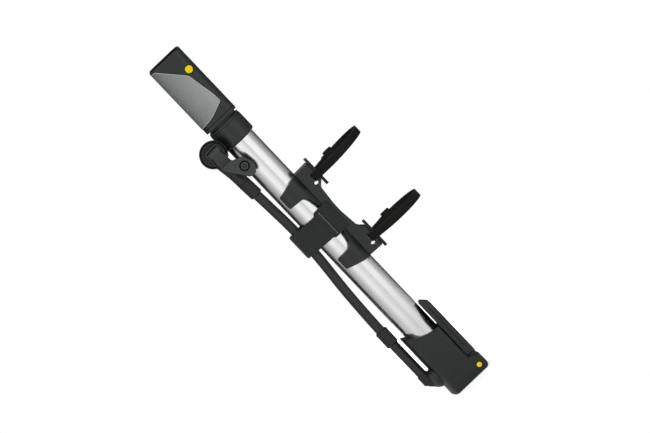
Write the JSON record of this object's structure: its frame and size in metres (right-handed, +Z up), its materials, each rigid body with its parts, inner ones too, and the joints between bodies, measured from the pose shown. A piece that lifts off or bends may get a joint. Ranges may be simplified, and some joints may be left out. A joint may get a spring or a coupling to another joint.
{
  "type": "bicycle mini pump",
  "caption": "Bicycle mini pump with folding T-handle, fold-out foot, strapped hose, thumb-lock valve head and a clip bracket tied to a frame tube.",
  "frame": {"origin": "on the barrel's axis, at the base's bottom face", "axes": "+Z up the barrel to the handle, +X from the barrel to the bicycle frame tube, +Y completes the frame; the lever and the pin caps in front face -Y"},
  "size_m": [0.1065, 0.052, 0.35],
  "materials": {
    "black_plastic": "fine moulded texture",
    "polished_aluminium": "polished, drawn lengthwise",
    "steel": "satin",
    "bush_plastic": "smooth",
    "rubber": "matt",
    "hose_rubber": "soft sheen",
    "grey_grip": "soft matt",
    "yellow_plastic": "glossy",
    "strap_fabric": "woven hook and loop",
    "tie_nylon": "smooth nylon"
  },
  "bodies": {
    "pump": {"barrel_tube": "polished_aluminium", "base_housing": "black_plastic", "barrel_seal": "rubber", "check_spring": "steel", "hose_elbow": "black_plastic", "elbow_seal": "rubber", "hose": "hose_rubber", "hose_sleeve": "hose_rubber", "hose_ferrule": "black_plastic", "head_body": "black_plastic", "head_cover": "black_plastic", "valve_gasket": "rubber", "valve_nut": "black_plastic", "lever_pin": "steel", "barrel_cap": "black_plastic", "rod_bush": "bush_plastic", "rod_wiper": "rubber", "bump_ring": "rubber", "foot_pin": "steel", "foot_pin_caps": "yellow_plastic", "bracket": "black_plastic", "saddle_pad_lower": "rubber", "saddle_pad_upper": "rubber", "tie_lower": "tie_nylon", "tie_upper": "tie_nylon", "strap_band": "strap_fabric", "strap_flap": "strap_fabric"},
    "rod": {"piston": "bush_plastic", "piston_ring": "rubber", "piston_screw": "steel", "piston_rod": "steel", "rod_head": "steel"},
    "handle": {"handle_pivot": "steel", "handle_shell": "black_plastic", "handle_collar": "black_plastic", "palm_pad": "grey_grip", "handle_pin_caps": "yellow_plastic"},
    "lever": {"thumb_lever": "black_plastic", "lever_stud": "black_plastic"},
    "plunger": {"gasket_plunger": "bush_plastic"},
    "foot": {"foot_pad": "black_plastic", "foot_tread": "rubber"},
    "check_valve": {"check_poppet": "bush_plastic"}
  },
  "joints": [
    {"name": "pump_stroke", "type": "slide", "parent": "pump", "child": "rod", "axis": [0, 0, 1], "range_m": [0, 0.214]},
    {"name": "handle_fold", "type": "hinge", "parent": "rod", "child": "handle", "pos_m": [0.0093, 0, 0.3318], "axis": [0, 1, 0], "range_deg": [0, 90]},
    {"name": "lever_lock", "type": "hinge", "parent": "pump", "child": "lever", "pos_m": [-0.02151, -0.0171, 0.26959], "axis": [-0.9981, 0, -0.061], "range_deg": [0, 90]},
    {"name": "gasket_squeeze", "type": "slide", "parent": "pump", "child": "plunger", "axis": [0, 1, 0], "range_m": [0, 0.0014], "deforming": ["valve_gasket"]},
    {"name": "foot_fold", "type": "hinge", "parent": "pump", "child": "foot", "pos_m": [0.0151, 0, 0.0058], "axis": [0, 1, 0], "range_deg": [0, 90]},
    {"name": "check_lift", "type": "slide", "parent": "pump", "child": "check_valve", "axis": [-1, 0, 0], "range_m": [0, 0.001], "stiffness_N_per_m": 50, "deforming": ["check_spring"]}
  ],
  "couplings": [
    {"joint": "gasket_squeeze", "follows": "lever_lock", "m_per_rad": 0.00089127}
  ]
}
